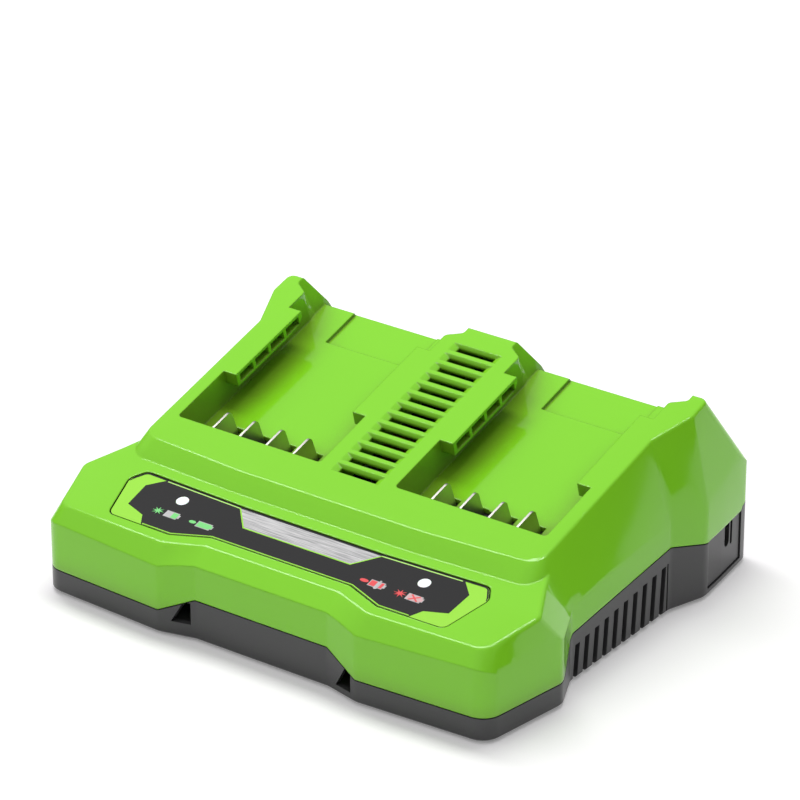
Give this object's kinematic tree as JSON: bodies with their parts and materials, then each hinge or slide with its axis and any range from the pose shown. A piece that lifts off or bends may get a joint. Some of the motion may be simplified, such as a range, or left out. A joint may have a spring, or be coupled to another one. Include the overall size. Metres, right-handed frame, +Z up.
{
  "type": "power tool battery charger",
  "caption": "Desktop charger for slide-on tool battery packs: sloping deck with railed bays and contact blades, louvred vents, indicator panel in front.",
  "frame": {"origin": "centre of the footprint, on the surface the feet stand on", "axes": "+X across the bays to the right, +Y from the label towards the back, +Z up"},
  "size_m": [0.206, 0.1727, 0.0742],
  "materials": {
    "green_plastic": "gloss",
    "grey_plastic": "satin",
    "grey_insert": "matte",
    "label_film": "satin",
    "clear_plastic": "gloss",
    "led_body": "gloss",
    "soft_rubber": "matte",
    "black_plastic": "satin",
    "circuit_board": "satin",
    "ferrite": "matte",
    "coil_tape": "satin",
    "can_sleeve": "satin",
    "copper_wire": "gloss",
    "film_case": "satin",
    "fuse_glass": "gloss",
    "sink_aluminium": "satin",
    "steel": "satin",
    "contact_metal": "polished"
  },
  "bodies": {
    "root": {"base_tray": "grey_plastic", "blade_left_1": "contact_metal", "blade_left_2": "contact_metal", "blade_left_3": "contact_metal", "blade_left_4": "contact_metal", "blade_right_1": "contact_metal", "blade_right_2": "contact_metal", "blade_right_3": "contact_metal", "blade_right_4": "contact_metal", "board_screws": "steel", "bridge_rectifier": "black_plastic", "bulk_capacitor": "can_sleeve", "control_chip": "black_plastic", "cord_gland": "soft_rubber", "film_capacitor": "film_case", "filter_choke": "copper_wire", "foot_back_left": "soft_rubber", "foot_back_right": "soft_rubber", "foot_front_left": "soft_rubber", "foot_front_right": "soft_rubber", "front_label": "label_film", "fuse": "fuse_glass", "housing_screws": "steel", "light_pipe_left": "clear_plastic", "light_pipe_right": "clear_plastic", "main_board": "circuit_board", "main_heat_sink": "sink_aluminium", "output_capacitor_1": "can_sleeve", "output_capacitor_2": "can_sleeve", "output_capacitor_3": "can_sleeve", "output_heat_sink": "sink_aluminium", "output_rectifier": "black_plastic", "side_insert_left": "grey_insert", "side_insert_right": "grey_insert", "status_led_left": "led_body", "status_led_right": "led_body", "switching_transistor": "black_plastic", "terminal_block_left": "black_plastic", "terminal_block_right": "black_plastic", "top_cover": "green_plastic", "transformer_coil": "coil_tape", "transformer_core": "ferrite"}
  },
  "joints": []
}
